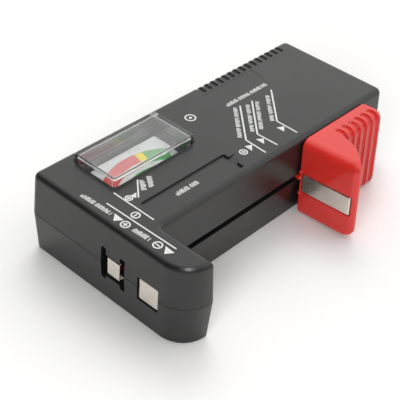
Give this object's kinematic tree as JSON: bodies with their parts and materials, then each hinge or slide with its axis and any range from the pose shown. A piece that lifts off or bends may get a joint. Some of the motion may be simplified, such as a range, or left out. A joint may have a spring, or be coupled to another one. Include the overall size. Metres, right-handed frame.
{
  "type": "battery tester",
  "caption": "Hand-held analogue battery tester: dark housing with a fixed jaw, a red jaw that slides along its side, end contacts for a snap battery and a needle meter under a clear window.",
  "frame": {"origin": "middle of the housing's flat back, under the middle of the main body's length and width", "axes": "+Z out of the dial side, +Y along the body to the end away from the 9 V contacts, +X towards the side with the jaws"},
  "size_m": [0.061, 0.108, 0.0279],
  "materials": {
    "shell": "fine-textured dark grey moulding",
    "clear_plastic": "clear, polished",
    "meter_base": "plain grey moulding",
    "card": "white printed card",
    "needle": "black painted pointer",
    "red_plastic": "polished red moulding",
    "nickel": "nickel-plated strip",
    "brass": "plain",
    "iron": "plain",
    "copper": "enamelled copper winding",
    "board": "phenolic board",
    "resistor": "lacquered",
    "wire_red": "red insulation",
    "wire_black": "black insulation",
    "screw_steel": "zinc-plated"
  },
  "bodies": {
    "housing": {"top_shell": "shell", "bottom_shell": "shell", "meter_window": "clear_plastic", "meter_case": "meter_base", "scale_card": "card", "magnet_core": "iron", "core_bar": "brass", "yoke_ring": "iron", "movement_frame": "meter_base", "lower_bridge": "brass", "upper_bridge": "brass", "lower_jewel": "brass", "upper_jewel": "brass", "hairspring": "brass", "spring_arm": "brass", "meter_terminal_plus": "brass", "meter_terminal_minus": "brass", "contact_9v_plus": "nickel", "contact_9v_minus": "nickel", "jaw_contact": "nickel", "contact_rail": "brass", "circuit_board": "board", "load_resistor_1": "resistor", "load_resistor_2": "resistor", "load_resistor_3": "resistor", "wire_jaw": "wire_black", "wire_9v_plus": "wire_red", "wire_9v_minus": "wire_black", "wire_rail": "wire_red", "wire_meter_plus": "wire_red", "wire_meter_minus": "wire_black", "case_screw_1": "screw_steel", "case_screw_2": "screw_steel", "case_screw_3": "screw_steel", "case_screw_4": "screw_steel"},
    "sliding_jaw": {"slider": "red_plastic", "slider_contact": "nickel", "slider_runner": "shell", "slider_wiper": "brass"},
    "movement": {"needle": "needle", "moving_coil": "copper", "upper_pivot": "screw_steel", "lower_pivot": "screw_steel"}
  },
  "joints": [
    {"name": "jaw_slide", "type": "slide", "parent": "housing", "child": "sliding_jaw", "axis": [0, 1, 0], "range_m": [-0.054, 0.008]},
    {"name": "needle_turn", "type": "hinge", "parent": "housing", "child": "movement", "pos_m": [0.00755, -0.025, 0.0196], "axis": [0, 0, -1], "range_deg": [0, 80], "stiffness_Nm_per_rad": 0.000002}
  ]
}
